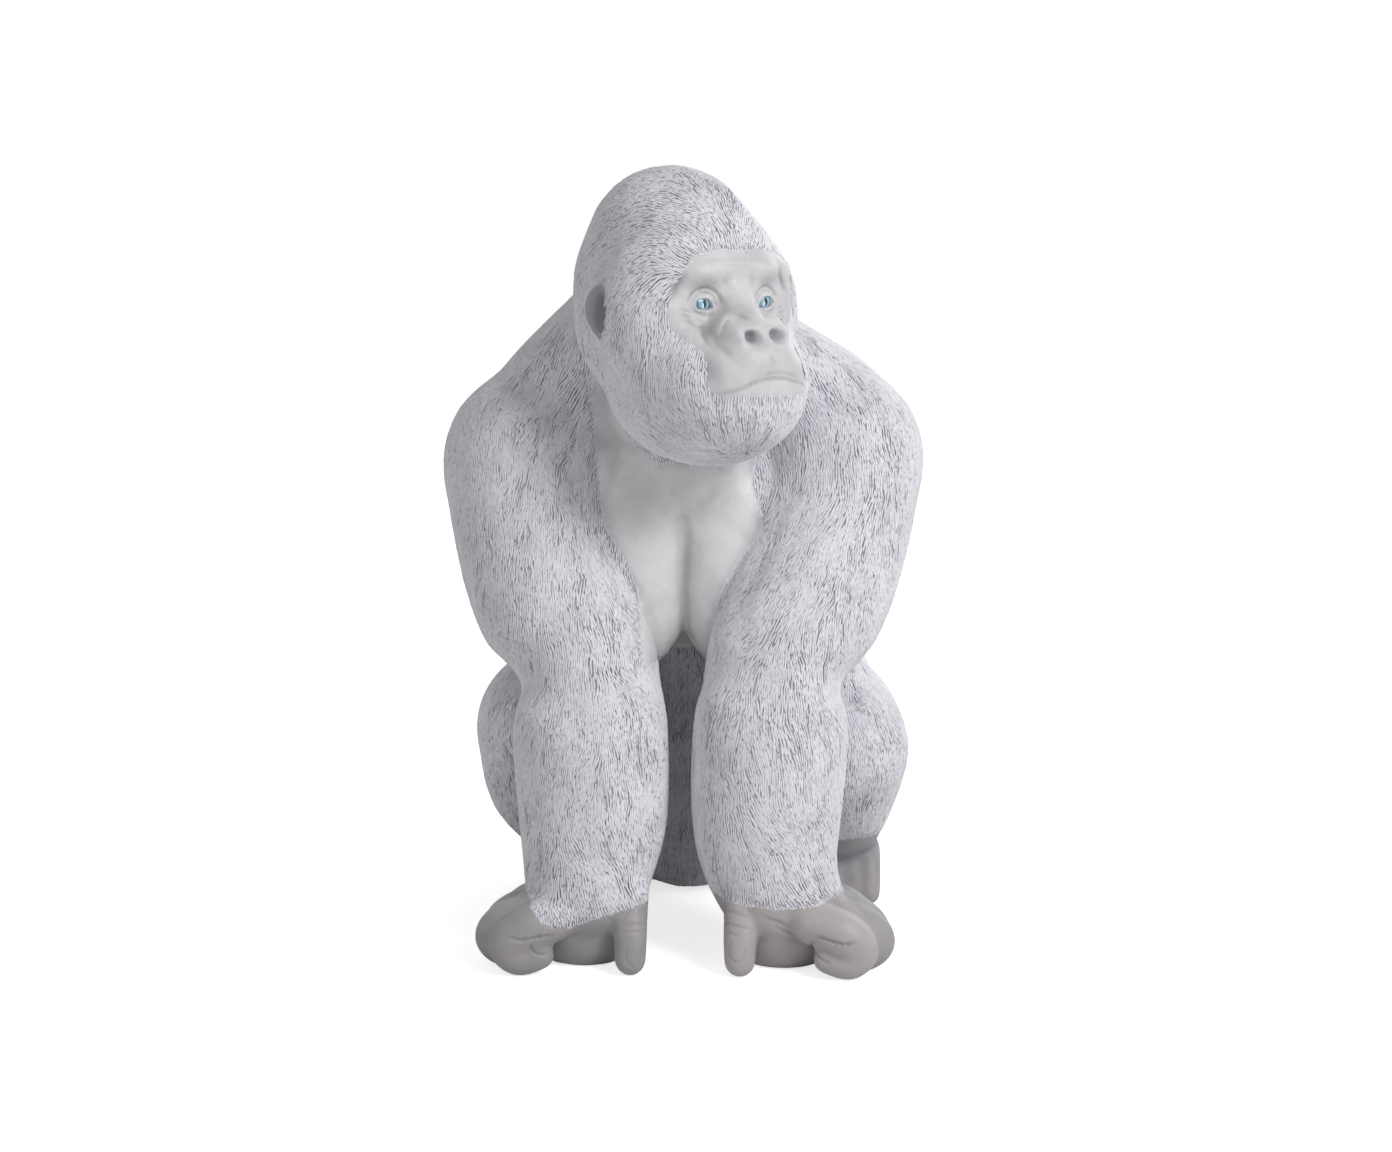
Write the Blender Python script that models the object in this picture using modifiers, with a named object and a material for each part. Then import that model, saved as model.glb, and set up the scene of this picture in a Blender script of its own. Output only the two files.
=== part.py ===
"""Gorilla figurine: one cast figure that squats on its haunches with its knuckles on the ground.

It is worked as clay is. Lumps are pressed together and fused into one skin, smaller lumps go on
top of it, folds are drawn into it, and its foot is cut flat. Metres, +Z up. The figure faces -Y,
and its own left side is +X. It is not quite symmetrical: where a size differs between the sides,
the first value is for -X and the second for +X.
"""

import math

import bmesh
import bpy
import numpy as np
from mathutils import Euler, Matrix, Vector
from mathutils.bvhtree import BVHTree

NAME = "gorilla"
SIDES = (-1, 1)

# Trunk, from the chest down to the seat: Y, Z and radius of each station
TRUNK = ((0.045, 0.520, 0.088), (0.058, 0.430, 0.102), (0.085, 0.330, 0.108), (0.115, 0.220, 0.120))
TRUNK_SPREAD = 0.065
SEAT = (0.136, 0.112)
SEAT_RADIUS = 0.118
BREAST = (0.050, 0.041, 0.108)
BREAST_CENTRE = (0.042, -0.051, 0.375)
CHEST = (0.088, 0.046, 0.090)
CHEST_CENTRE = (0, -0.035, 0.440)
FLANK = (0.030, 0.040, 0.110)
FLANK_CENTRE = (0.078, -0.040, 0.385)

# Neck, and the slopes from it to the shoulders, which differ: places and radii
NECK = ((-0.012, -0.010, 0.650), (-0.004, 0.035, 0.585), (0, 0.055, 0.520))
NECK_RADII = (0.078, 0.090, 0.098)
SLOPES = (
    ((-0.045, 0.005, 0.612), (-0.121, 0.008, 0.530)),
    ((0.030, 0.005, 0.588), (0.132, 0.006, 0.517)),
)
SLOPE_RADII = ((0.062, 0.068), (0.059, 0.068))
THROAT = (0.085, 0.080, 0.090)
THROAT_CENTRE = (0, -0.020, 0.540)

# Head, from an origin on its own upright axis at the height of the eyes
HEAD_Y = -0.100
EYE_HEIGHT = 0.639
HEAD_TURN = 38.0
CRANIUM = (0.075, 0.100, 0.084)
NAPE = (0.083, 0.073, 0.100)
JAW = (0.090, 0.114, 0.082)
CHEEK = (0.050, 0.058, 0.078)
CHEEK_CENTRE = (0.055, -0.027, -0.014)
BROW_HEIGHT = 0.034
BROW_RADIUS = 0.0145
EYE_SPREAD = 0.035
EYEBALL = (0.0195, 0.020, 0.0155)
NOSE_HEIGHT = -0.026
NOSE_WING = (0.019, 0.021, 0.018)
MOUTH_HEIGHT = -0.062
MOUTH_SPREAD = 0.052
EAR_HEIGHT = -0.008
EAR_RIM = 0.0055

# Shoulders and arms
SHOULDER_SPREAD = (0.158, 0.152)
SHOULDER_Y = -0.005
SHOULDER_HEIGHT = (0.462, 0.468)
SHOULDER = (0.087, 0.088, 0.097)
UPPER_ARM_RADIUS = 0.082
ELBOW_SPREAD = (0.085, 0.085)
ELBOW_Y = -0.105
ELBOW_HEIGHT = 0.276
ELBOW_RADIUS = 0.066
FOREARM_SPREAD = 0.086
FOREARM_RADIUS = 0.077
WRIST_SPREAD = (0.088, 0.098)
WRIST_Y = -0.165
WRIST_HEIGHT = 0.072
WRIST_RADIUS = 0.060

# Hands, resting on curled fingers
FINGERS = 4
FINGER_PITCH = 0.029
FINGER_FRONT = -0.221
FINGER_RADIUS = 0.019
KNUCKLE_SPREAD = (0.145, 0.159)
KNUCKLE_HEIGHT = 0.044
KNUCKLE_STEPS = (0, 0.016, 0.012, 0.002)
THUMB_SPREAD = (0.045, 0.062)
THUMB_RADIUS = 0.0175

# Legs and feet
KNEE_SPREAD = (0.146, 0.161)
KNEE_HEIGHT = (0.195, 0.172)
KNEE_RADIUS = 0.068
CALF_SPREAD = (0.146, 0.158)
ANKLE_SPREAD = (0.118, 0.154)
ANKLE_RADIUS = 0.040
TOES = 5
TOE_PITCH = 0.0165
TOE_RADIUS = 0.013
BIG_TOE_SPREAD = (0.090, 0.122)

# Grain of the two fusings, and how many facets are kept
BODY_GRAIN = 0.006
SKIN_GRAIN = 0.0028
COAT_FACETS = 5600
DETAIL_FACETS = 5900

RESIN_COLOUR = (0.72, 0.71, 0.74, 1.0)
RESIN_ROUGHNESS = 0.55


def clear_scene():
    for old in list(bpy.data.objects):
        bpy.data.objects.remove(old, do_unlink=True)


def new_collection(name):
    collection = bpy.data.collections.new(name)
    bpy.context.scene.collection.children.link(collection)
    return collection


def evaluated_mesh(obj):
    """A plain mesh of the object with its modifiers carried out."""
    graph = bpy.context.evaluated_depsgraph_get()
    return bpy.data.meshes.new_from_object(obj.evaluated_get(graph))


def ease(share):
    """Rounds off both ends of a share between 0 and 1."""
    return share * share * (3 - 2 * share)


def smooth_path(points, per_span=8):
    """Points along a smooth curve through the given ones, of any dimension."""
    p = np.asarray(points, float)
    ends = np.vstack([2 * p[0] - p[1], p, 2 * p[-1] - p[-2]])
    t = np.linspace(0, 1, per_span, endpoint=False)[:, None]
    found = []
    for a, b, c, d in zip(ends, ends[1:], ends[2:], ends[3:]):
        bend = (2 * a - 5 * b + 4 * c - d) * t**2 + (3 * b - a - 3 * c + d) * t**3
        found.append(b + 0.5 * ((c - a) * t + bend))
    return np.vstack([*found, p[-1:]])


def distance_to(line, points):
    """How far each point is from a line of straight runs."""
    nearest = np.full(len(points), np.inf)
    for start, end in zip(line[:-1], line[1:]):
        run = end - start
        along = np.clip((points - start) @ run / (run @ run), 0, 1)
        nearest = np.minimum(nearest, np.linalg.norm(points - start - along[:, None] * run, axis=1))
    return nearest


class Clay:
    """Lumps pressed together, which fuse() makes one skin."""

    def __init__(self, skin=None):
        self.bm = bmesh.new()
        self.place = Matrix()
        if skin:
            self.bm.from_mesh(skin)
        ball = bmesh.new()
        bmesh.ops.create_icosphere(ball, subdivisions=3, radius=1)
        self.ball = bpy.data.meshes.new("ball")
        ball.to_mesh(self.ball)
        ball.free()

    def egg(self, centre, size, turn=0):
        """An egg of these half sizes, turned that many degrees about Y."""
        spin = Euler((0, math.radians(turn), 0)).to_matrix().to_4x4()
        lump = self.ball.copy()
        lump.transform(self.place @ Matrix.Translation(centre) @ spin @ Matrix.Diagonal((*size, 1)))
        self.bm.from_mesh(lump)
        bpy.data.meshes.remove(lump)

    def eggs(self, centre, size, turn=0):
        """The same egg on both sides."""
        for side in SIDES:
            self.egg((side * centre[0], *centre[1:]), size, side * turn)

    def limb(self, points, radii, side=1):
        """A round limb through the points, with a radius at each."""
        for x, y, z, radius in smooth_path([(*p, r) for p, r in zip(points, radii)]):
            self.egg((side * x, y, z), (radius, radius, radius))

    def fuse(self, grain, rounds):
        """One closed skin of facets of about that grain, smoothed for that many rounds."""
        mesh = bpy.data.meshes.new("clay")
        self.bm.to_mesh(mesh)
        self.bm.free()
        lump = bpy.data.objects.new("clay", mesh)
        bpy.context.scene.collection.objects.link(lump)
        remesh = lump.modifiers.new("fuse", "REMESH")
        remesh.mode = "VOXEL"
        remesh.voxel_size = grain
        soften = lump.modifiers.new("soften", "SMOOTH")
        soften.factor = 0.5
        soften.iterations = rounds
        skin = evaluated_mesh(lump)
        bpy.data.objects.remove(lump)
        return skin


class Skin:
    """A fused skin that folds are drawn into, on the body or from straight in front of the face."""

    def __init__(self, mesh, face_frame):
        self.mesh = mesh
        self.points = self.values(mesh.vertices, "co")
        self.normals = self.values(mesh.vertex_normals, "vector")
        self.outward = -np.array(face_frame)[:3, 1]
        into_face = np.array(face_frame.inverted())
        self.local = self.points @ into_face[:3, :3].T + into_face[:3, 3]
        self.front = (self.local[:, 1] < 0) & (self.normals @ self.outward > -0.2)
        bm = bmesh.new()
        bm.from_mesh(mesh)
        self.tree = BVHTree.FromBMesh(bm)
        bm.free()

    def values(self, items, name):
        found = np.empty(len(items) * 3, np.float32)
        items.foreach_get(name, found)
        return found.reshape(-1, 3).astype(float)

    def centre(self):
        """Brings the origin to the middle of the figure, seen from above."""
        ends = self.points.min(0), self.points.max(0)
        self.points -= (*(ends[0] + ends[1])[:2] / 2, 0)

    def write(self):
        self.mesh.vertices.foreach_set("co", self.points.astype(np.float32).ravel())
        self.mesh.update()

    def fold(self, line, width, height):
        """Raises a line on the body by height, or presses it in where that is negative."""
        on_skin = [self.tree.find_nearest(Vector(p))[0] for p in smooth_path(line)]
        share = ease(np.clip(1 - distance_to(np.array(on_skin), self.points) / width, 0, 1))
        self.points += self.normals * (share * height)[:, None]

    def push(self, share, height):
        share = np.where(self.front, ease(np.clip(share, 0, 1)), 0)
        self.points += self.outward * (share * height)[:, None]

    def press(self, centre, size, height):
        """Moves an oval of the face outward by height, or in where that is negative."""
        x, z = self.local[:, 0] - centre[0], self.local[:, 2] - centre[1]
        self.push(1 - np.hypot(x / size[0], z / size[1]), height)

    def crease(self, line, width, height):
        """The same along a line over the face, that wide to each side."""
        self.push(1 - distance_to(smooth_path(line), self.local[:, [0, 2]]) / width, height)


def torso(clay):
    radii = [radius for y, z, radius in TRUNK]
    for side in SIDES:
        beside = [(TRUNK_SPREAD, y, z) for y, z, radius in TRUNK]
        clay.limb([*beside, (TRUNK_SPREAD, *SEAT)], [*radii, SEAT_RADIUS], side)
    clay.limb([(0, y - 0.005, z) for y, z, radius in TRUNK], [radius + 0.009 for radius in radii])
    clay.egg((0, SEAT[0] - 0.026, SEAT[1]), (0.100, SEAT_RADIUS, SEAT_RADIUS))


def neck(clay):
    clay.limb(NECK, NECK_RADII)
    for slope, radii in zip(SLOPES, SLOPE_RADII):
        clay.limb(slope, radii)
    clay.egg(THROAT_CENTRE, THROAT)


def arm(clay, side):
    right = side > 0
    shoulder = (SHOULDER_SPREAD[right], SHOULDER_Y, SHOULDER_HEIGHT[right])
    elbow = (ELBOW_SPREAD[right], ELBOW_Y, ELBOW_HEIGHT)
    wrist = (WRIST_SPREAD[right], WRIST_Y, WRIST_HEIGHT)
    clay.egg((side * shoulder[0], *shoulder[1:]), SHOULDER)
    upper = [
        shoulder,
        (SHOULDER_SPREAD[right] - 0.007, -0.030, 0.410),
        (SHOULDER_SPREAD[right] - 0.031, -0.068, 0.335),
        elbow,
    ]
    clay.limb(upper, (0.084, UPPER_ARM_RADIUS, UPPER_ARM_RADIUS - 0.002, ELBOW_RADIUS), side)
    lower = [
        (ELBOW_SPREAD[right], ELBOW_Y - 0.004, ELBOW_HEIGHT - 0.014),
        (FOREARM_SPREAD + 0.002, -0.127, 0.220),
        (FOREARM_SPREAD - 0.002, -0.142, 0.140),
        (FOREARM_SPREAD + 0.002, -0.157, 0.098),
        wrist,
    ]
    clay.limb(lower, (ELBOW_RADIUS, FOREARM_RADIUS, 0.074, 0.065, WRIST_RADIUS), side)


def leg(clay, side):
    right = side > 0
    hip = (0.090, 0.150, 0.140)
    thigh = (0.128, 0.070, 0.172)
    knee = (KNEE_SPREAD[right], 0.000, KNEE_HEIGHT[right])
    calf = (CALF_SPREAD[right], 0.020, 0.130)
    ankle = (ANKLE_SPREAD[right], 0.070, 0.060)
    clay.limb([hip, thigh, knee], (0.108, 0.092, KNEE_RADIUS), side)
    clay.limb([knee, calf, ankle], (KNEE_RADIUS - 0.002, 0.060, ANKLE_RADIUS), side)


def hand(clay, side):
    right = side > 0
    spread = KNUCKLE_SPREAD[right]
    wrist = WRIST_SPREAD[right]
    clay.limb([(wrist, -0.165, 0.078), (wrist + 0.022, -0.172, 0.058)], (0.056, 0.043), side)
    clay.egg((side * (wrist + 0.004), -0.162, 0.034), (0.056, 0.048, 0.046))
    for finger in range(FINGERS):
        y = FINGER_FRONT + finger * FINGER_PITCH
        reach = spread + KNUCKLE_STEPS[finger]
        curl = [
            (spread - 0.028, y + 0.008, KNUCKLE_HEIGHT + 0.009),
            (reach, y, KNUCKLE_HEIGHT),
            (reach + 0.017, y, 0.029),
            (reach + 0.006, y, FINGER_RADIUS - 0.003),
            (reach - 0.015, y, FINGER_RADIUS),
        ]
        thick = [FINGER_RADIUS + step for step in (0.003, 0.003, 0, -0.002, -0.005)]
        clay.limb(curl, thick, side)
    x = THUMB_SPREAD[right]
    thumb = [(x + 0.008, -0.175, 0.084), (x, -0.208, 0.048), (x - 0.001, -0.217, 0.015)]
    clay.limb(thumb, (0.026, THUMB_RADIUS, THUMB_RADIUS - 0.0015), side)


def foot(clay, side):
    inner = BIG_TOE_SPREAD[side > 0]
    clay.limb([(inner + 0.030, 0.120, 0.034), (inner + 0.034, 0.060, 0.042)], (0.036, 0.033), side)
    for toe in range(TOES):
        x = inner + TOE_PITCH * toe
        clay.limb([(x, 0.066, 0.050), (x, 0.036, 0.043), (x, 0.022, TOE_RADIUS)], [TOE_RADIUS] * 3, side)


def across(points):
    """Points that run in to the middle, carried on out to the other side."""
    return [*points, *((-p[0], *p[1:]) for p in points[-2::-1])]


def head_frame():
    turn = Matrix.Rotation(math.radians(HEAD_TURN), 4, "Z")
    return Matrix.Translation((0, HEAD_Y, EYE_HEIGHT)) @ turn


def head_block(clay):
    clay.egg((0, 0.016, 0.043), CRANIUM)
    clay.egg((0, 0.047, 0.003), NAPE)
    clay.egg((0, -0.040, -0.077), JAW)
    clay.eggs(CHEEK_CENTRE, CHEEK)
    clay.eggs((0.048, 0.012, -0.022), (0.046, 0.078, 0.074))
    clay.egg((0, -0.030, -0.004), (0.080, 0.058, 0.048))
    clay.egg((0, -0.036, 0.046), (0.074, 0.054, 0.044))


def brow_and_nose(clay):
    z = BROW_HEIGHT
    brow = [(0.068, -0.060, z - 0.008), (0.042, -0.074, z), (0, -0.080, z)]
    clay.limb(across(brow), [BROW_RADIUS] * 5)
    under_brow = [(0.062, -0.055, z - 0.018), (0.038, -0.069, z - 0.014), (0, -0.077, z - 0.018)]
    clay.limb(across(under_brow), [BROW_RADIUS + 0.004] * 5)
    clay.eggs((0.056, -0.040, z - 0.002), (0.024, 0.034, 0.030))
    bridge = [(0, -0.074, 0.022), (0, -0.092, -0.004), (0, -0.120, NOSE_HEIGHT)]
    clay.limb(bridge, (0.018, 0.019, 0.015))
    clay.eggs((0.023, -0.110, NOSE_HEIGHT + 0.003), NOSE_WING)
    clay.eggs((EYE_SPREAD, -0.068, 0), EYEBALL)
    clay.eggs((0.040, -0.066, -0.028), (0.028, 0.024, 0.018))
    clay.egg((0, -0.106, MOUTH_HEIGHT + 0.014), (0.047, 0.044, 0.030))
    clay.egg((0, -0.119, MOUTH_HEIGHT - 0.014), (0.038, 0.029, 0.013))


def ear(clay, side):
    """A C-shaped rim round a hollow, open to the front."""
    top, foot_of_ear = EAR_HEIGHT + 0.022, EAR_HEIGHT - 0.024
    rim = [
        (0.084, -0.012, foot_of_ear + 0.004),
        (0.090, -0.004, foot_of_ear),
        (0.097, 0.010, EAR_HEIGHT - 0.010),
        (0.098, 0.012, EAR_HEIGHT + 0.010),
        (0.092, 0.002, top),
        (0.084, -0.010, top - 0.006),
    ]
    clay.limb(rim, [EAR_RIM] * len(rim), side)
    clay.egg((side * 0.086, 0.006, EAR_HEIGHT), (0.009, 0.018, 0.020))


def face_lines(skin):
    for side in SIDES:
        skin.press((side * 0.014, NOSE_HEIGHT - 0.003), (0.013, 0.010), -0.010)
        wing = [(0.014, -0.012), (0.030, -0.014), (0.042, -0.022), (0.044, -0.034), (0.034, -0.045)]
        skin.crease([(side * x, z) for x, z in wing], 0.008, -0.003)
        beside_mouth = (0.054, MOUTH_HEIGHT - 0.016)
        cheek = [(0.012, -0.002), (0.026, -0.018), (0.047, -0.031), (0.054, -0.050), beside_mouth]
        skin.crease([(side * x, z) for x, z in cheek], 0.011, -0.004)
    corner = MOUTH_HEIGHT - 0.017
    mouth = [(MOUTH_SPREAD, corner), (0.030, MOUTH_HEIGHT - 0.006), (0, MOUTH_HEIGHT)]
    skin.crease(across(mouth), 0.007, -0.0030)


def body_folds(skin):
    for side in SIDES:
        elbow = [(side * 0.170, -0.090, 0.272), (side * 0.110, -0.190, 0.262), (side * 0.035, -0.120, 0.275)]
        skin.fold(elbow, 0.036, -0.007)
        armpit = [(side * 0.095, -0.100, 0.470), (side * 0.080, -0.110, 0.400), (side * 0.072, -0.115, 0.330)]
        skin.fold(armpit, 0.020, -0.003)
    skin.fold([(0, -0.083, 0.445), (0, -0.080, 0.360), (0, -0.070, 0.280)], 0.014, -0.003)


def keep_detail(obj, skin):
    """Thins the facets of the coat hard and those of the face, the hands and the feet less."""
    x, y, z = skin.points.T
    aside, ahead, up = np.abs(skin.local[:, 0]), skin.local[:, 1], skin.local[:, 2]
    face = (ahead < -0.030) & (aside < 0.085) & (up > -0.095) & (up < 0.070)
    ears = (aside > 0.078) & (np.abs(ahead) < 0.030) & (np.abs(up - EAR_HEIGHT) < 0.034)
    hands = (y < -0.100) & (z < 0.090)
    feet = (y < 0.075) & (y > -0.020) & (z < 0.065)
    detailed = face | ears | hands | feet
    mesh = obj.data
    detail = obj.vertex_groups.new(name="detail")
    detail.add(np.flatnonzero(detailed).tolist(), 1, "REPLACE")
    every = sum(len(p.vertices) - 2 for p in mesh.polygons)
    fine = sum(len(p.vertices) - 2 for p in mesh.polygons if detailed[p.vertices[0]])
    coat = obj.modifiers.new("coat facets", "DECIMATE")
    coat.vertex_group = detail.name
    coat.invert_vertex_group = True
    coat.ratio = (fine + COAT_FACETS) / every
    rest = obj.modifiers.new("detail facets", "DECIMATE")
    rest.vertex_group = detail.name
    rest.ratio = (DETAIL_FACETS + COAT_FACETS) / (fine + COAT_FACETS)


def cut_foot(obj, cutters):
    """Cuts the figure flat where it meets the ground."""
    mesh = bpy.data.meshes.new("ground")
    bm = bmesh.new()
    bmesh.ops.create_cube(bm, size=1)
    bm.to_mesh(mesh)
    bm.free()
    ground = bpy.data.objects.new("ground", mesh)
    ground.location.z = -0.5
    ground.hide_render = True
    ground.display_type = "WIRE"
    cutters.objects.link(ground)
    cut = obj.modifiers.new("foot", "BOOLEAN")
    cut.operation = "DIFFERENCE"
    cut.solver = "EXACT"
    cut.object = ground


def resin():
    material = bpy.data.materials.new("painted resin")
    material.use_nodes = True
    shader = material.node_tree.nodes["Principled BSDF"]
    shader.inputs["Base Color"].default_value = RESIN_COLOUR
    shader.inputs["Roughness"].default_value = RESIN_ROUGHNESS
    return material


def build_body():
    clay = Clay()
    torso(clay)
    neck(clay)
    for side in SIDES:
        arm(clay, side)
        leg(clay, side)
    clay.place = head_frame()
    head_block(clay)
    return clay.fuse(BODY_GRAIN, 14)


def add_features(body):
    clay = Clay(body)
    clay.eggs(BREAST_CENTRE, BREAST, 4)
    clay.eggs(FLANK_CENTRE, FLANK)
    clay.egg(CHEST_CENTRE, CHEST)
    for side in SIDES:
        hand(clay, side)
        foot(clay, side)
    clay.place = head_frame()
    brow_and_nose(clay)
    for side in SIDES:
        ear(clay, side)
    return clay.fuse(SKIN_GRAIN, 6)


def main():
    clear_scene()
    figure = add_features(build_body())
    skin = Skin(figure, head_frame())
    face_lines(skin)
    body_folds(skin)
    skin.centre()
    skin.write()
    figure.materials.append(resin())
    obj = bpy.data.objects.new(NAME, figure)
    new_collection(NAME).objects.link(obj)
    keep_detail(obj, skin)
    cut_foot(obj, new_collection("cutters"))


main()
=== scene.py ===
"""Dresses the cast gorilla figurine: its carved and painted skin, its coat of cast hair, and a plain stage.

The figure faces -Y, and its own left side is +X. The head has a frame of its own, turned to the
figure's left, in which the face looks along -Y. Metres, unless a table says millimetres.
"""

import math

import bpy
import numpy as np
from mathutils import Matrix, Vector
from mathutils.bvhtree import BVHTree
from mathutils.kdtree import KDTree


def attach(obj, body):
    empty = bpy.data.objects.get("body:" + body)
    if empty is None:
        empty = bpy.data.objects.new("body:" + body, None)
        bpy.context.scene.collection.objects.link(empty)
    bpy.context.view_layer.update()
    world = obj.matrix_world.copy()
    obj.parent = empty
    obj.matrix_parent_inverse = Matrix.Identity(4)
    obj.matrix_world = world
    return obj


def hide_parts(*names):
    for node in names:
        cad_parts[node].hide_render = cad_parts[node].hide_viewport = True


bl_info = {
    "name": "Cast gorilla figurine",
    "version": (1, 0, 0),
    "blender": (4, 5, 0),
    "location": "3D View > Sidebar > Figurine",
    "description": "Carves, paints and lights a cast gorilla figurine",
    "category": "Object",
}

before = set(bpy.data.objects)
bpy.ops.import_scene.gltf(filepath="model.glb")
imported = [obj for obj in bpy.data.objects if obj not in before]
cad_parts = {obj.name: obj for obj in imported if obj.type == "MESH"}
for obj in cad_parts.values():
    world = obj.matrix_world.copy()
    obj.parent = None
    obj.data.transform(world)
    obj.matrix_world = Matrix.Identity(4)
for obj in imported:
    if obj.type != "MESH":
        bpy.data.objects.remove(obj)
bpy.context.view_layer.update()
NODE = "gorilla"
SIDES = (-1, 1)
MM = 0.001

# The figure's upright middle plane, and the frame of the head: between the eyes, on the skull's axis
MIDDLE_X = 0.003
HEAD = Matrix.Translation((MIDDLE_X, -0.1067, 0.639)) @ Matrix.Rotation(math.radians(38), 4, "Z")

# Where the camera aims, and where that falls in the picture: left of its middle and above, in pixels
TARGET = (MIDDLE_X, -0.0067, 0.38)
PICTURE_WIDTH = 1392
TARGET_LEFT = 10
TARGET_ABOVE = 30.5

# Outline of the bare face, seen from straight in front of it: X and Z in millimetres
FACE_OUTLINE = (
    (0, 48), (30, 47), (52, 43), (70, 34), (75, 18), (70, 0), (66, -14), (57, -25), (52, -37),
    (54, -50), (57, -72), (48, -79), (30, -79), (0, -77), (-30, -76), (-48, -76), (-57, -72),
    (-54, -50), (-52, -37), (-57, -26), (-67, -20), (-70, -8), (-67, 5), (-64, 18), (-56, 32),
    (-44, 44), (-20, 49),
)
# Outline of the bare throat and chest, seen from the front: X and Z in millimetres
CHEST_OUTLINE = (
    (-82, 493), (-85, 535), (-60, 570), (0, 580), (50, 530), (72, 480), (68, 453), (76, 431),
    (80, 410), (64, 394), (50, 372), (36, 345), (32, 309), (30, 286), (0, 283), (-28, 286),
    (-30, 296), (-34, 325), (-38, 356), (-51, 385), (-72, 416), (-76, 451),
)
# Height of the edge of the coat over each hand: X and Z in millimetres
CUFF_EDGE = (
    (-230, 88), (-145, 75), (-124, 55), (-96, 46), (-62, 58), (-34, 66), (0, 70),
    (46, 70), (102, 66), (145, 71), (163, 74), (240, 88),
)
FOOT_EDGE = 0.076

# Eyes: the middle of each iris in the head's frame, half the size of the eyeball, and its opening
# and the folds of its lids, from the middle of the iris, with X away from the nose. Millimetres
IRIS = {-1: (-35, 1.8), 1: (36, 0)}
EYEBALL = (14.5, 12, 12)
OPENING = (
    (-8.8, -4.2), (-7.0, 0.6), (-3.5, 4.0), (1, 5.2), (5.5, 4.4), (9, 1.8), (10.5, -0.8), (7, -3.8),
    (1.5, -5.2), (-5, -5.2),
)
LID_FOLDS = (
    (((-15, -9), (-17, -1), (-12, 9), (-2, 15), (9, 12), (17, 3)), 3.0, -1.8),
    (((-12, 4), (-6, 9), (1, 10.6), (8, 8.4), (13, 3)), 1.7, -0.8),
    (((-13, -9), (-4, -10.5), (5, -9), (12, -5)), 1.9, -0.8),
    (((-8, -13), (2, -15), (11, -12)), 1.8, -0.5),
    (((20, -9), (13, -19), (3, -19), (-8, -14)), 4.5, -0.9),
    (((-15, -9), (-10, -17), (-1, -22)), 2.2, -0.7),
    (((14, -8), (20, -5), (27, -4)), 1.8, -0.7),
    (((14, -12), (20, -10), (27, -10)), 1.8, -0.8),
    (((15, -16), (20, -15), (25, -15)), 1.8, -0.7),
)
# Folds of the face, the same on both sides: the line, how wide to each side, and how high
FACE_FOLDS = (
    (((46, 42), (54, 31), (62, 17), (66, 5)), 8.0, -3.2),
    (((15, 34), (16, 23), (12, 12)), 9.0, -0.7),
    (((19, -5), (25, -8), (31, -13), (36, -23), (40, -32), (38, -39)), 5.5, -4.5),
    (((42, -16), (46, -28), (44, -40)), 3.6, -1.5),
    (((3, -12), (13, -8.5), (22, -11), (28, -16)), 4.5, -1.4),
    (((27, -19), (15, -25), (5, -29)), 8.5, -5.0),
    (((49, -38), (53, -50), (55, -60), (56, -74)), 9.0, -3.5),
)
# Folds across the middle of the face: the line, how wide to each side, and how high
LIP_LINE = ((-50, -78), (-36, -73), (-23, -67), (-9, -64), (7, -64), (26, -69), (46, -75), (52, -79))
FRONT_FOLDS = (
    (((-44, 42), (-15, 43), (12, 41), (44, 40)), 2.6, -0.5),
    (((-30, 36), (-14, 37.5), (2, 35.5), (16, 36.5), (32, 34)), 2.4, -0.4),
    (((-17, -3), (-9, 1), (0, 1), (9, 0), (17, -4)), 2.0, -0.8),
    (((-15, -7), (-6, -4), (6, -4), (14, -8)), 1.9, -0.7),
    (((-9, 9), (0, 10), (9, 8)), 1.9, -0.5),
    (((-7, 14), (1, 15), (8, 14)), 1.8, -0.4),
    (LIP_LINE, 8.0, 1.2),
    (LIP_LINE, 2.4, -1.5),
    (((-28, -65), (-14, -61), (2, -59), (20, -62), (34, -67)), 2.2, -0.7),
    (((-2, -38), (-3, -46), (-3, -54)), 4.0, -0.8),
)
# Lobes raised on the face, the same on both sides: the middle, half the size, and how high
FACE_LOBES = (
    ((38, 32), (32, 14), 4.0), ((37, 15), (22, 9), -2.0), ((24, -23), (13, 13), 7.5),
    ((13, -17), (11, 8), 3.0), ((26, -52), (26, 18), 2.2),
)
# Painted shade on the face, the same on both sides, in the nostrils, under the brows, in the creases of the
# nose and the muzzle, and beside the bridge: the middle, half the size, and how strong
FACE_SHADE = (
    ((15, -27), (14, 9), 0.62), ((37, 20), (28, 12), 0.34), ((41, -24), (7, 15), 0.38),
    ((53, -52), (10, 26), 0.42), ((14, -5), (16, 9), 0.22),
)
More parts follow.
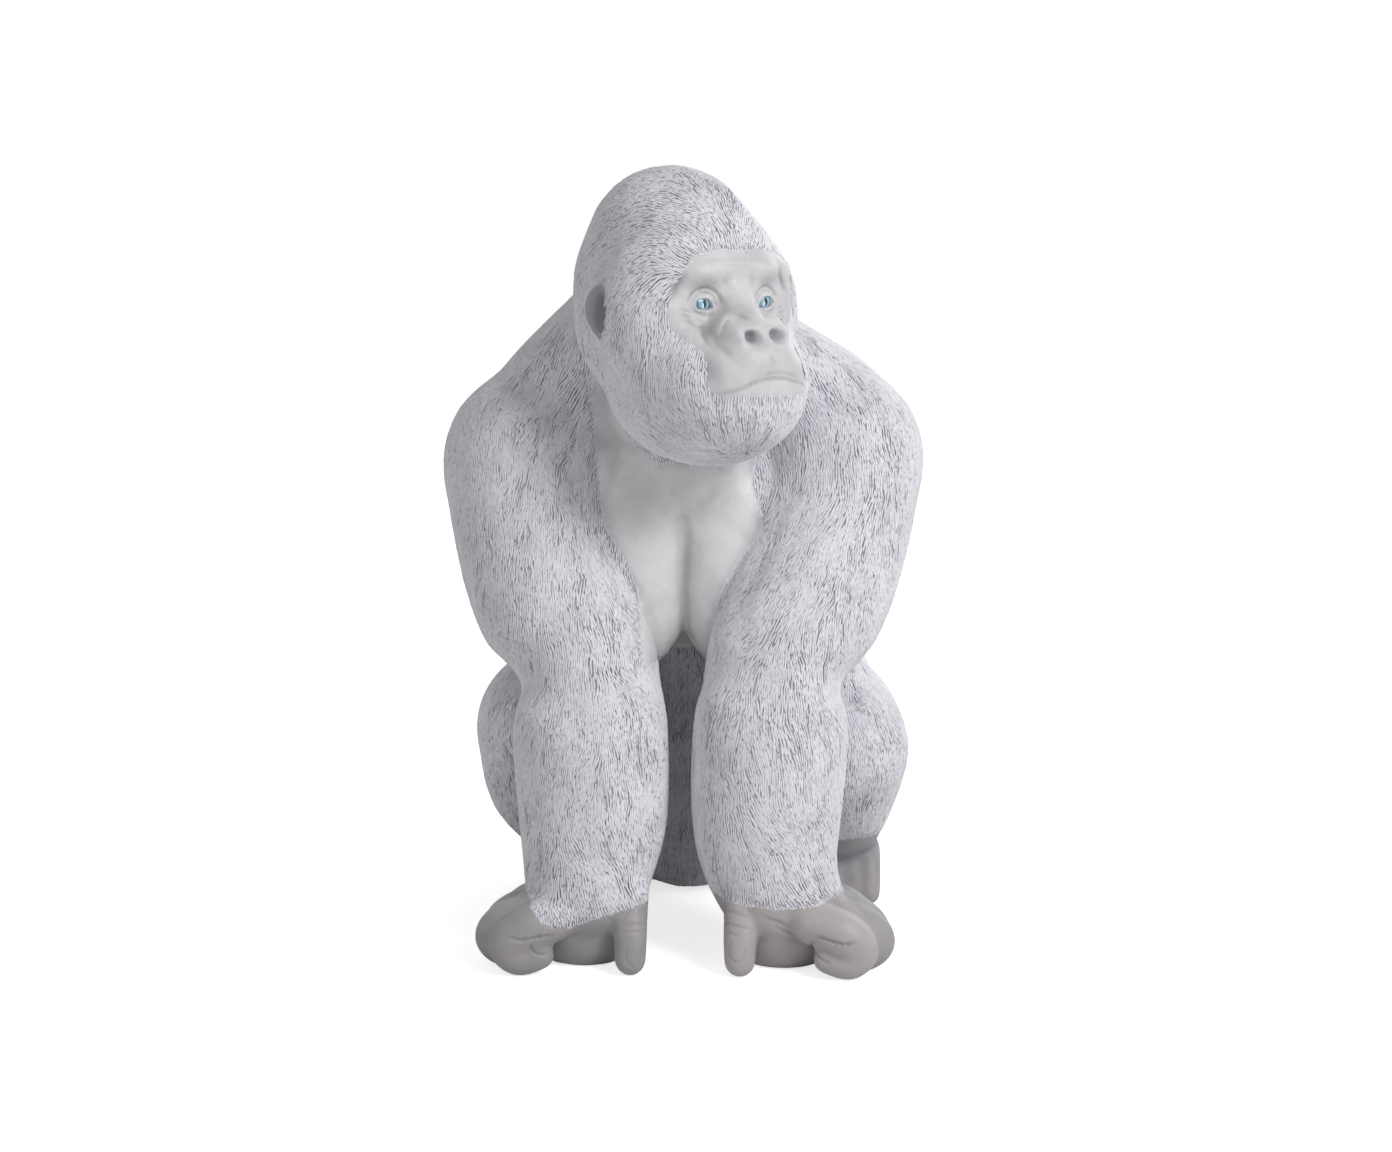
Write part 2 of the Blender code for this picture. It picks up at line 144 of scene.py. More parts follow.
# Folds of the fronts of the hands, by X and Z on the body: the line, how wide, and how high
HAND_FOLDS = (
    (((-155, 42), (-141, 40), (-129, 42), (-113, 43)), 3.4, -1.6),
    (((-129, 42), (-135, 33), (-130, 25), (-116, 23)), 3.0, -1.2),
    (((-133, 45), (-131, 37)), 1.8, -0.7),
    (((-127, 46), (-127, 39)), 1.8, -0.7),
    (((-140, 45), (-143, 36)), 1.8, -0.6),
    (((-158, 66), (-148, 72), (-138, 74)), 2.6, -0.7),
    (((-120, 56), (-105, 50), (-88, 52)), 5.0, -1.0),
    (((-50, 60), (-38, 63), (-25, 60)), 2.4, -0.7),
    (((-48, 50), (-37, 52), (-24, 49)), 2.4, -0.8),
    (((-46, 44), (-37, 45), (-26, 43)), 2.2, -0.6),
    (((-44, 30), (-45, 21), (-41, 13), (-33, 13), (-29, 21), (-30, 29)), 2.0, -0.6),
    (((134, 46), (149, 43), (163, 40), (176, 42)), 3.4, -1.6),
    (((136, 44), (132, 34), (138, 24), (151, 18)), 3.0, -1.2),
    (((152, 44), (155, 35)), 1.8, -0.8),
    (((159, 44), (161, 35)), 1.8, -0.8),
    (((166, 43), (167, 36)), 1.8, -0.6),
    (((85, 60), (102, 54), (111, 48)), 4.0, -1.0),
    (((95, 52), (108, 44), (128, 40)), 4.0, -0.8),
    (((46, 60), (58, 63), (72, 59)), 2.4, -0.7),
    (((46, 50), (58, 52), (74, 48)), 2.4, -0.8),
    (((50, 42), (56, 44), (64, 42)), 2.2, -0.6),
    (((56, 37), (53, 29), (56, 20), (64, 18), (69, 26), (68, 35)), 2.0, -0.6),
)
# Folds of the chest, on the body: the line, how wide to each side, and how high
CHEST_FOLDS = (
    (((2, -83, 416), (4, -79, 391), (4, -80, 361), (6, -76, 329), (7, -66, 300)), 12, -2.2),
    (((46, -85, 452), (27, -86, 441), (12, -86, 430), (3, -82, 413)), 12, -0.8),
)

# How the coat lies: a place, which way the hair runs there, and whether it is the same mirrored
HEAD_COMBS = (
    ((0, -85, 58), (0, 0.2, 1), False),
    ((50, -70, 62), (0.6, 0.3, 0.7), True),
    ((0, -40, 118), (0, 1, 0.4), False),
    ((0, 30, 128), (0, 1, 0), False),
    ((60, 0, 105), (0.3, 0.7, -0.55), True),
    ((50, -50, 95), (0.5, 0.75, 0.1), True),
    ((0, 110, 50), (0, 0, -1), False),
    ((88, 5, 55), (0, 0.75, -0.65), True),
    ((84, -40, 25), (0, 0.6, -0.8), True),
    ((90, -25, -10), (0, 0.5, -0.9), True),
    ((85, -60, -40), (0, 0.35, -1), True),
    ((66, -85, -45), (0.05, 0.1, -1), True),
    ((90, 25, -50), (0, 0.35, -1), True),
    ((80, -70, -95), (-0.2, -0.3, -0.9), True),
    ((60, -85, -125), (-0.5, -0.5, -0.7), True),
    ((0, -145, -105), (0, 0.3, -1), False),
    ((35, -130, -105), (-0.15, 0, -1), True),
    ((0, -80, -158), (0, -0.5, -0.3), False),
    ((60, -20, -150), (-0.5, -0.7, -0.4), True),
    ((0, 105, -60), (0, 0.1, -1), False),
)
BODY_COMBS = (
    ((0, 140, 480), (0, 0.3, -1), False),
    ((100, 170, 350), (0.15, 0.1, -1), True),
    ((100, 215, 200), (0.2, 0, -1), True),
    ((0, 235, 150), (0, 0, -1), False),
    ((150, 180, 80), (0.1, 0, -1), True),
    ((140, 10, 552), (0.8, -0.1, -0.5), True),
    ((175, -80, 480), (0.05, -0.2, -1), True),
    ((240, 0, 460), (0, 0, -1), True),
    ((190, 90, 450), (0.1, 0.1, -1), True),
    ((105, -45, 535), (0.55, -0.3, -0.8), True),
    ((-150, -120, 380), (0.05, 0, -1), False),
    ((-110, -170, 320), (0.15, 0, -1), False),
    ((150, -120, 400), (-0.4, -0.1, -0.9), False),
    ((65, -160, 340), (-0.6, 0, -0.8), False),
    ((130, -150, 330), (-0.35, 0, -0.95), False),
    ((205, -60, 340), (0, 0, -1), True),
    ((100, -190, 250), (0, 0, -1), True),
    ((90, -215, 190), (0.3, 0, -0.95), True),
    ((-90, -215, 130), (0.4, 0, -0.9), False),
    ((90, -215, 130), (0.45, 0, -0.9), False),
    ((-60, -215, 90), (0.3, 0, -1), False),
    ((-130, -205, 85), (-0.35, 0, -1), False),
    ((60, -215, 90), (0.15, 0, -1), False),
    ((120, -205, 90), (0.45, 0, -1), False),
    ((165, -140, 160), (0, 0, -1), True),
    ((15, -140, 160), (0, 0, -1), True),
    ((90, -70, 160), (0, 0, -1), True),
    ((150, 60, 250), (0.1, -0.8, -0.3), True),
    ((215, -20, 190), (0.05, 0.1, -1), True),
    ((150, -70, 190), (0, -0.1, -1), True),
    ((195, 20, 100), (0, 0.1, -1), True),
    ((0, -90, 240), (0, 0, -1), False),
    ((0, 10, 60), (0, 0, -1), False),
)

# Darker patches of the coat, painted shade where the neck meets the shoulders, under the jaw and low on the
# body, and a darker patch on the front of the crown: place in the head's frame or the body's, reach, and
# strength
HEAD_PATCHES = (((25, -40, 112), 48, 0.55), ((0, -105, -150), 55, 0.75), ((-60, -60, -140), 45, 0.5))
BODY_PATCHES = (
    ((-100, -30, 545), 60, 0.5), ((110, -30, 530), 45, 0.45), ((0, -60, 240), 70, 0.35),
    ((0, 0, 80), 130, 0.45),
)

# Triangles kept under the coat, and where the skin is bare
COVERED_FACETS = 30000
BARE_FACETS = 155000

# Pieces that the coat is laid in, so that each stays light enough to handle
COAT_PIECES = ("head", "upper_back", "seat", "right_arm", "left_arm", "lower_back", "legs")


def ease(share):
    """Rounds off both ends of a share between 0 and 1."""
    share = np.clip(share, 0, 1)
    return share * share * (3 - 2 * share)


def unit(vectors):
    """The same directions, each one long."""
    return vectors / np.maximum(np.linalg.norm(vectors, axis=-1, keepdims=True), 1e-9)


def smooth_path(points, per_span=6):
    """Points along a smooth curve through the given ones, of any dimension."""
    p = np.asarray(points, float)
    ends = np.vstack([2 * p[0] - p[1], p, 2 * p[-1] - p[-2]])
    t = np.linspace(0, 1, per_span, endpoint=False)[:, None]
    found = []
    for a, b, c, d in zip(ends, ends[1:], ends[2:], ends[3:]):
        bend = (2 * a - 5 * b + 4 * c - d) * t**2 + (3 * b - a - 3 * c + d) * t**3
        found.append(b + 0.5 * ((c - a) * t + bend))
    return np.vstack([*found, p[-1:]])


def distance_to(line, points):
    """How far each point is from a line of straight runs."""
    nearest = np.full(len(points), np.inf)
    for start, end in zip(line[:-1], line[1:]):
        run = end - start
        along = np.clip((points - start) @ run / (run @ run), 0, 1)
        nearest = np.minimum(nearest, np.linalg.norm(points - start - along[:, None] * run, axis=1))
    return nearest


def outline_depth(outline, points):
    """How far each flat point is inside an outline in millimetres, and negative outside it."""
    corners = np.array(outline, float) * MM
    ring = np.vstack([corners, corners[:1]])
    inside = np.zeros(len(points), bool)
    x, z = points.T
    for (x0, z0), (x1, z1) in zip(ring[:-1], ring[1:]):
        if z0 != z1:
            inside ^= ((z0 > z) != (z1 > z)) & (x < (x1 - x0) * (z - z0) / (z1 - z0) + x0)
    reach = distance_to(ring, points)
    return np.where(inside, reach, -reach)


def into_head(points):
    """Places on the figure, in the frame of the head."""
    inverse = np.array(HEAD.inverted())
    return points @ inverse[:3, :3].T + inverse[:3, 3]


def out_of_head(vectors):
    """Directions in the frame of the head, in that of the figure."""
    return vectors @ np.array(HEAD)[:3, :3].T


def from_bowl(local):
    """How far places in the head's frame are from the middle of an ear's bowl, and 1 at its rim."""
    return np.hypot((local[:, 1] / MM + 10) / 12, (local[:, 2] / MM + 10) / 18)


# Axis of the left arm in millimetres, and its reach, to tell which places belong to an arm
ARM_AXIS = ((158, -12, 462), (150, -37, 410), (125, -75, 335), (92, -112, 276), (88, -134, 220),
            (86, -149, 140), (92, -172, 72))
ARM_RADIUS = 0.078


def limb_depth(points, side):
    """How far a place is from the skin of an arm; negative inside it."""
    axis = np.array(ARM_AXIS, float) * MM
    axis[:, 0] = axis[:, 0] * side + MIDDLE_X
    return distance_to(axis, points) - ARM_RADIUS


def piece_of_coat(points):
    """The index in COAT_PIECES of the piece that a place belongs to."""
    right, left = limb_depth(points, -1), limb_depth(points, 1)
    local = into_head(points)
    head = np.linalg.norm((local - (0, 0, -0.02)) / (0.10, 0.135, 0.145), axis=1) < 1.03
    legs = points[:, 2] < 0.255 - 0.2 * np.clip(points[:, 1] - 0.10, 0, 0.15)
    found = np.where(legs, 2, 1)
    arm = np.minimum(right, left) < np.where(points[:, 2] > 0.5, -0.02, 0.010)
    arm &= (points[:, 1] < 0.05) & ((points[:, 2] > 0.25) | (points[:, 1] < -0.055))
    found = np.where(arm & (right < left), 3, found)
    found = np.where(arm & (right >= left), 4, found)
    found = np.where((found == 1) & (points[:, 2] < 0.42), 5, found)
    found = np.where((found == 2) & (points[:, 1] < 0.09), 6, found)
    return np.where(head, 0, found)


def bare_depth(points):
    """How far a place is inside a part without hair, and negative in the coat."""
    local = into_head(points)
    face = outline_depth(FACE_OUTLINE, local[:, [0, 2]])
    face = np.where(local[:, 1] < -0.030, face, -1)
    from_ear = np.column_stack((np.abs(local[:, 0]), local[:, 1:])) - (0.095, -0.005, -0.008)
    ear =(1 - np.linalg.norm(from_ear / (0.018, 0.018, 0.024), axis=1)) * 0.02
    x, y, z = points.T
    off_arms = np.minimum(limb_depth(points, -1), limb_depth(points, 1))
    chest = np.minimum(outline_depth(CHEST_OUTLINE, points[:, [0, 2]]), off_arms + 0.030)
    reach = np.where(local[:, 1:2] < -0.02, (0.11, 0.16, 0.145), (0.11, 0.09, 0.145))
    skull = (((local + (0, 0.02, 0.02)) / reach) ** 4).sum(1)
    chest = np.where((y < -0.02) & (skull > 1.0), chest, -1)
    edge = np.array(CUFF_EDGE, float) * MM
    hand = np.where(y < -0.100, np.interp(x, edge[:, 0], edge[:, 1]) - z, -1)
    foot = np.where((y < 0.085) & (y > -0.060) & (np.abs(x) > 0.06), FOOT_EDGE - z, -1)
    foot = np.where(off_arms > 0.01, foot, -1)
    return np.max([face, ear, chest, hand, foot], axis=0)


def shade_of_coat(points):
    """How much darker the coat is painted here, mostly as painted shade, between 0 and 1."""
    shade = np.zeros(len(points))
    local = into_head(points)
    for places, patches in ((local, HEAD_PATCHES), (points, BODY_PATCHES)):
        for centre, reach, strength in patches:
            away = np.linalg.norm(places - np.array(centre) * MM, axis=1) / (reach * MM)
            shade = np.maximum(shade, strength * ease(1 - away))
    return shade


def comb_table(surface):
    """Places, normals and directions of the combs, in the frame of the figure."""
    places, lies = [], []
    for combs, in_head in ((HEAD_COMBS, True), (BODY_COMBS, False)):
        for place, lie, mirrored in combs:
            for side in SIDES if mirrored else (1,):
                p = np.array((place[0] * side, *place[1:])) * MM
                d = np.array((lie[0] * side, *lie[1:]), float)
                if in_head:
                    p = np.array(HEAD @ Vector(p))
                    d = out_of_head(d)
                places.append(p)
                lies.append(d)
    found = [surface.find_nearest(Vector(p)) for p in places]
    places = np.array([hit[0] for hit in found])
    normals = np.array([hit[1] for hit in found])
    return places, normals, unit(np.array(lies))


def comb(table, points, normals):
    """Which way the coat runs at each point, along the skin, with a slow wander from side to side."""
    places, facing, lies = table
    away = np.linalg.norm(points[:, None] - places[None], axis=2)
    alike = np.clip(0.35 + normals @ facing.T, 0.02, None)
    weight = alike**2 / (away + 0.012) ** 3
    lie = unit(weight @ lies / weight.sum(1, keepdims=True))
    lie = unit(lie - (lie * normals).sum(1, keepdims=True) * normals)
    aside = np.cross(normals, lie)
    wander = np.zeros(len(points))
    for step, (wave, swing) in enumerate(((0.060, 0.07), (0.033, 0.07), (0.018, 0.05))):
        turn = np.random.default_rng(40 + step).normal(size=(3, 3))
        for axis in unit(turn):
            wander += swing * np.sin(points @ axis * (2 * math.pi / wave) + step * 2.1 + axis[0] * 9)
    return unit(lie * np.cos(wander)[:, None] + aside * np.sin(wander)[:, None])


def only(obj):
    """Makes this the one selected and active object."""
    for other in bpy.context.selected_objects:
        other.select_set(False)
    obj.select_set(True)
    bpy.context.view_layer.objects.active = obj


def add_modifier(obj, kind, **settings):
    """Adds a modifier, sets it and applies it."""
    modifier = obj.modifiers.new(kind.lower(), kind)
    for key, value in settings.items():
        setattr(modifier, key, value)
    only(obj)
    bpy.ops.object.modifier_apply(modifier=modifier.name)


def read_all(items, key, kind=np.int32):
    """One whole number or more, or with another kind, of every item in a list of a mesh, end to end."""
    length = len(getattr(items[0], key)) if hasattr(getattr(items[0], key), "__len__") else 1
    found = np.empty(len(items) * length, kind)
    items.foreach_get(key, found)
    return found


def mesh_points(mesh):
    """The place of every vertex."""
    return read_all(mesh.vertices, "co", np.float32).reshape(-1, 3).astype(float)


def mesh_normals(mesh):
    """Which way the skin faces at every vertex."""
    return read_all(mesh.vertex_normals, "vector", np.float32).reshape(-1, 3).astype(float)


def set_values(mesh, name, values):
    """Stores a number for each vertex under a name that the materials read."""
    attribute = mesh.attributes.get(name) or mesh.attributes.new(name, "FLOAT", "POINT")
    attribute.data.foreach_set("value", np.asarray(values, np.float32))


class Skin:
    """A skin that is carved with strokes, straight into the face or along its own normals."""

    def __init__(self, mesh):
        self.mesh = mesh
        self.edges = read_all(mesh.edges, "vertices").reshape(-1, 2)
        self.measure()

    def measure(self):
        """Reads the skin afresh, and how squarely each place faces out of the face."""
        self.points = mesh_points(self.mesh)
        self.normals = mesh_normals(self.mesh)
        self.local = into_head(self.points)
        self.outward = -np.array(HEAD)[:3, 1]
        facing = self.normals @ self.outward
        self.front = ease((facing + 0.25) * 3) * (self.local[:, 1] < -0.02)

    def write(self):
        """Puts the carved places back into the mesh."""
        self.mesh.vertices.foreach_set("co", self.points.astype(np.float32).ravel())
        self.mesh.update()

    def around(self, points):
        """The mean place of each vertex's neighbours."""
        total = np.zeros_like(points)
        count = np.zeros(len(points))
        for a, b in (self.edges.T, self.edges.T[::-1]):
            count += np.bincount(a, minlength=len(points))
            for axis in range(3):
                total[:, axis] += np.bincount(a, points[b, axis], len(points))
        return total / np.maximum(count, 1)[:, None]

    def melt(self, share, rounds):
        """Smooths the skin where share is above nothing."""
        share = np.clip(share, 0, 1)[:, None] * 0.6
        for _ in range(rounds):
            self.points += (self.around(self.points) - self.points) * share

    def hollows(self, rounds):
        """How far each vertex lies below the skin around it, in metres."""
        level = self.points.copy()
        for _ in range(rounds):
            level = self.around(level)
        return ((level - self.points) * self.normals).sum(1)

    def on_oval(self, centre, size):
        """A share from 0 at the rim of an oval of the face to 1 in its middle. Millimetres."""
        x = self.local[:, 0] / MM - centre[0]
        z = self.local[:, 2] / MM - centre[1]
        return ease(1 - np.hypot(x / size[0], z / size[1])) * self.front

    def press(self, centre, size, height):
        """Moves an oval of the face outward by height, or in where that is negative. Millimetres."""
        share = self.on_oval(centre, size)
        self.points += self.outward * (share * height * MM)[:, None]

    def crease(self, line, width, height):
        """The same along a line over the face, that wide to each side, dying away at its ends."""
        self.draw(line, width, height, self.local, self.front, self.outward)

    def score(self, line, width, height):
        """The same along a line over the fronts of the hands, given by X and Z on the body."""
        shown = ease(-self.normals[:, 1] * 2 + 0.6) * (self.points[:, 1] < -0.16)
        shown = shown * (self.points[:, 2] < 0.1)
        self.draw(line, width, height, self.points, shown, self.normals)

    def draw(self, line, width, height, places, shown, ways):
        """Moves what is shown near a line the given ways, by height along its middle."""
        path = smooth_path(line)
        flat = places[:, [0, 2]] / MM
        near = (np.abs(flat - path.mean(0)) < np.ptp(path, axis=0) / 2 + width + 1).all(1) & (shown > 0)
        flat = flat[near]
        run = np.append(0, np.cumsum(np.linalg.norm(np.diff(path, axis=0), axis=1)))
        along = run[np.linalg.norm(flat[:, None] - path[None], axis=2).argmin(1)]
        ends = np.minimum(along, run[-1] - along) / min(3 * width, run[-1] / 2.5)
        share = ease(1 - distance_to(path, flat) / width) * ease(0.3 + 0.7 * ends) * shown[near]
        ways = ways if ways.ndim == 1 else ways[near]
        self.points[near] += ways * (share * height * MM)[:, None]

    def groove(self, line, width, height):
        """The same on the body, along its own normals. Millimetres."""
        path = smooth_path(line) * MM
        near = (np.abs(self.points - path.mean(0)) < np.ptp(path, axis=0) / 2 + width * MM * 2).all(1)
        share = np.zeros(len(self.points))
        share[near] = ease(1 - distance_to(path, self.points[near]) / (width * MM))
        self.points += self.normals * (share * height * MM)[:, None]


def node_group(name, inputs, outputs):
    """An empty shader group with sockets of these names and kinds."""
    group = bpy.data.node_groups.new(name, "ShaderNodeTree")
    for label, kind, value in inputs:
        socket = group.interface.new_socket(label, in_out="INPUT", socket_type=kind)
        socket.default_value = value
    for label, kind in outputs:
        group.interface.new_socket(label, in_out="OUTPUT", socket_type=kind)
    return group


class Nodes:
    """Adds nodes to a tree and joins them."""

    def __init__(self, tree):
        self.tree = tree

    def add(self, kind, settings=None, **inputs):
        """Adds a node; an input is named by its label, or by _ and its number where labels repeat."""
        node = self.tree.nodes.new(kind)
        for key, value in (settings or {}).items():
            setattr(node, key, value)
        for key, value in inputs.items():
            socket = node.inputs[int(key[1:])] if key[0] == "_" else node.inputs[key.replace("_", " ")]
            if isinstance(value, bpy.types.NodeSocket):
                self.tree.links.new(value, socket)
            else:
                socket.default_value = value
        return node

    def math(self, operation, a, b=0.0, clamp=False):
        """A sum or another operation on one or two numbers."""
        settings = {"operation": operation, "use_clamp": clamp}
        return self.add("ShaderNodeMath", settings, _0=a, _1=b).outputs[0]

    def mix(self, share, a, b):
        """The colour a where share is 0 and b where it is 1."""
        return self.add("ShaderNodeMix", {"data_type": "RGBA"}, _0=share, _6=a, _7=b).outputs[2]

    def span(self, value, low, high):
        """A share from 0 at low to 1 at high."""
        node = self.add("ShaderNodeMapRange", {"interpolation_type": "SMOOTHSTEP"}, _0=value)
        node.inputs[1].default_value, node.inputs[2].default_value = low, high
        return node.outputs[0]

    def noise(self, where, scale, detail=3.0):
        """A cloudy number between 0 and 1."""
        return self.add("ShaderNodeTexNoise", None, Vector=where, Scale=scale, Detail=detail).outputs[0]

    def stored(self, name):
        """A number that was stored for each vertex."""
        return self.add("ShaderNodeAttribute", {"attribute_name": name}).outputs["Fac"]


def shaded_mottled_paint():
    """Group: a pale paint darkened toward its shade colour by Depth, which carries painted shade, and by
    uneven patches and brushing.
    """
    group = node_group(
        "washed paint",
        (
            ("Pale", "NodeSocketColor", (0.8, 0.8, 0.8, 1)),
            ("Wash", "NodeSocketColor", (0.4, 0.4, 0.45, 1)),
            ("Depth", "NodeSocketFloat", 0.0),
            ("Patches", "NodeSocketFloat", 0.2),
            ("Grain", "NodeSocketFloat", 0.2),
        ),
        (("Color", "NodeSocketColor"), ("Height", "NodeSocketFloat")),
    )
    n = Nodes(group)
    given = n.add("NodeGroupInput")
    where = n.add("ShaderNodeTexCoord").outputs["Object"]
    cloud = n.span(n.noise(where, 26.0), 0.35, 0.72)
    streak = n.noise(where, 190.0, 4.0)
    grain = n.noise(where, 900.0, 2.0)
    # Depth is painted shade; the clouds and the streaks are uneven paint
    depth = n.math("ADD", given.outputs["Depth"], n.math("MULTIPLY", cloud, given.outputs["Patches"]))
    uneven = n.math("MULTIPLY", n.math("SUBTRACT", streak, 0.5), given.outputs["Grain"])
    depth = n.math("ADD", depth, uneven, True)
    colour = n.mix(depth, given.outputs["Pale"], given.outputs["Wash"])
    out = n.add("NodeGroupOutput")
    group.links.new(colour, out.inputs["Color"])
    group.links.new(n.math("ADD", n.math("MULTIPLY", streak, 0.5), grain), out.inputs["Height"])
    return group


def principled(name):
    """A new material, its nodes, and its shader."""
    material = bpy.data.materials.new(name)
    material.use_nodes = True
    n = Nodes(material.node_tree)
    shader = material.node_tree.nodes["Principled BSDF"]
    return material, n, shader


def finish_paint(n, shader, paint, strength, distance):
    """Joins the shaded, mottled paint to the shader: its colour, and its height as a fine bump."""
    n.tree.links.new(paint.outputs["Color"], shader.inputs["Base Color"])
    bump = n.add("ShaderNodeBump", None, Strength=strength, Distance=distance, Height=paint.outputs["Height"])
    n.tree.links.new(bump.outputs[0], shader.inputs["Normal"])


def coat_material(settings, group):
    """Paint of the hair: pale on the crests, with painted shade in lavender grey down in the grooves between
    the locks.
    """
    material, n, shader = principled("painted coat")
    shade = n.stored("shade")
    # painted shade: darker toward the foot of each lock, and more so in the darker patches
    groove = n.math("SUBTRACT", 1.0, n.span(n.stored("ridge"), 0.22, 0.98))
    depth = n.math("MULTIPLY", groove, n.math("ADD", 0.62, n.math("MULTIPLY", shade, 0.6)))
    depth = n.math("ADD", depth, n.math("MULTIPLY", shade, 0.30))
    depth = n.math("ADD", depth, n.math("MULTIPLY", n.math("SUBTRACT", n.stored("tint"), 0.5), 0.16))
    paint = n.add("ShaderNodeGroup", {"node_tree": group}, Pale=settings.crest, Wash=settings.groove,
                  Depth=depth, Patches=0.16, Grain=0.35)
    finish_paint(n, shader, paint, 0.25, 0.0005)
    shader.inputs["Roughness"].default_value = 0.62
    return material


def skin_material(settings, group):
    """Paint of the bare face, chest, hands and feet, with painted shade in their folds and hollows."""
    material, n, shader = principled("painted skin")
    dark = n.stored("dark")
    pale = n.mix(n.span(dark, 0.0, 0.5), settings.chest, settings.face)
    pale = n.mix(n.span(dark, 0.5, 1.0), pale, settings.hands)
    paint = n.add("ShaderNodeGroup", {"node_tree": group}, Pale=pale, Wash=settings.wash,
                  Depth=n.stored("wash"), Patches=0.20, Grain=0.20)
    finish_paint(n, shader, paint, 0.18, 0.0004)
    shader.inputs["Roughness"].default_value = 0.52
    return material


def eye_material(settings):
    """Glossy paint of an eyeball: an iris with a dark rim, an upright pupil and a painted highlight, a glint
    of reflected light.
    """
    material, n, shader = principled("painted eye")
    aside, above = n.stored("aside"), n.stored("above")

    def oval(middle, size):
        """How far from the middle of an oval on the eye, and 1 at its rim. Millimetres."""
        x =n.math("DIVIDE", n.math("SUBTRACT", aside, middle[0]), size[0])
        z = n.math("DIVIDE", n.math("SUBTRACT", above, middle[1]), size[1])
        return n.math("SQRT", n.math("ADD", n.math("MULTIPLY", x, x), n.math("MULTIPLY", z, z)))

    iris = oval((0, 0), (7.8, 7.2))
    ray = n.noise(n.add("ShaderNodeTexCoord").outputs["Object"], 700.0)
    uneven = n.math("MULTIPLY", n.math("SUBTRACT", ray, 0.5), 0.5)
    rim = n.math("ADD", n.span(iris, 0.45, 1.0), uneven, True)
    blue = n.mix(rim, settings.iris, settings.iris_rim)
    white, black, painted_highlight = (0.62, 0.66, 0.68, 1), (0.015, 0.02, 0.03, 1), (0.9, 0.92, 0.95, 1)
    colour = n.mix(n.span(iris, 0.95, 1.08), blue, white)
    colour = n.mix(n.span(oval((0.4, 0.4), (1.9, 3.7)), 1.15, 0.85), colour, black)
    # a painted highlight: a glint of reflected light painted on the eye
    colour = n.mix(n.span(oval((-1.4, -1.4), (0.9, 2.5)), 1.15, 0.85), colour, painted_highlight)
    n.tree.links.new(colour, shader.inputs["Base Color"])
    shader.inputs["Roughness"].default_value = 0.22
    shader.inputs["Coat Weight"].default_value = 0.25
    return material


class FigurineSkin(bpy.types.PropertyGroup):
    voxel: bpy.props.FloatProperty(
        name="Grain", description="Size of the facets the skin is carved in",
        default=0.0022, unit="LENGTH")
    face: bpy.props.FloatVectorProperty(
        name="Face paint", description="Paint of the bare face",
        default=(0.66, 0.645, 0.655, 1), size=4, subtype="COLOR")
    chest: bpy.props.FloatVectorProperty(
        name="Chest paint", description="Paint of the bare throat and chest",
        default=(0.76, 0.745, 0.75, 1), size=4, subtype="COLOR")
    hands: bpy.props.FloatVectorProperty(
        name="Hand paint", description="Paint of the hands, the feet and the bowls of the ears",
        default=(0.46, 0.43, 0.425, 1), size=4, subtype="COLOR")
    # the colour of the painted shade in the folds of the skin
    wash: bpy.props.FloatVectorProperty(
        name="Wash", description="Painted shade in the folds of the skin",
        default=(0.20, 0.20, 0.23, 1), size=4, subtype="COLOR")
    iris: bpy.props.FloatVectorProperty(
        name="Iris", description="Paint of the iris",
        default=(0.33, 0.52, 0.64, 1), size=4, subtype="COLOR")
    iris_rim: bpy.props.FloatVectorProperty(
        name="Iris rim", description="Paint round the iris",
        default=(0.05, 0.17, 0.30, 1), size=4, subtype="COLOR")


class FigurineCoat(bpy.types.PropertyGroup):
    width: bpy.props.FloatProperty(
        name="Lock width", description="Width of one lock of cast hair", default=0.0033, unit="LENGTH")
    length: bpy.props.FloatProperty(
        name="Lock length", description="Length of one lock", default=0.0185, unit="LENGTH")
    pitch: bpy.props.FloatProperty(
        name="Groove pitch", description="From one groove to the next", default=0.0024, unit="LENGTH")
    overlap: bpy.props.FloatProperty(
        name="Row pitch", description="From one lock to the next along the hair",
        default=0.0075, unit="LENGTH")
    relief: bpy.props.FloatProperty(
        name="Relief", description="Height of a crest over its groove", default=0.0014, unit="LENGTH")
    crest: bpy.props.FloatVectorProperty(
        name="Crest paint", description="Paint on top of the locks",
        default=(0.87, 0.855, 0.90, 1), size=4, subtype="COLOR")
    # the colour of the painted shade between the locks
    groove: bpy.props.FloatVectorProperty(
        name="Groove shade", description="Painted shade between the locks",
        default=(0.40, 0.39, 0.445, 1), size=4, subtype="COLOR")


class FigurineStage(bpy.types.PropertyGroup):
    distance: bpy.props.FloatProperty(
        name="Camera distance", description="From the camera to the figure", default=3.0, unit="LENGTH")
    elevation: bpy.props.FloatProperty(
        name="Camera elevation", description="Angle above the horizon",
        default=math.radians(10), unit="ROTATION")
    azimuth: bpy.props.FloatProperty(
        name="Camera azimuth", description="Angle round the figure",
        default=math.radians(2.5), unit="ROTATION")
    lens: bpy.props.FloatProperty(
        name="Lens", description="Focal length in millimetres", default=77.07)
    key: bpy.props.FloatProperty(
        name="Key light", description="Power of the main lamp", default=72.0, unit="POWER")
    fill: bpy.props.FloatProperty(
        name="Fill light", description="Power of the side lamp", default=6.0, unit="POWER")
    back: bpy.props.FloatProperty(
        name="Back light", description="Power of the lamp behind", default=30.0, unit="POWER")
    sky: bpy.props.FloatProperty(
        name="Sky", description="Strength of the light from all round", default=0.30)
    floor: bpy.props.FloatVectorProperty(
        name="Floor", description="Colour of the floor",
        default=(0.88, 0.88, 0.88, 1), size=4, subtype="COLOR")


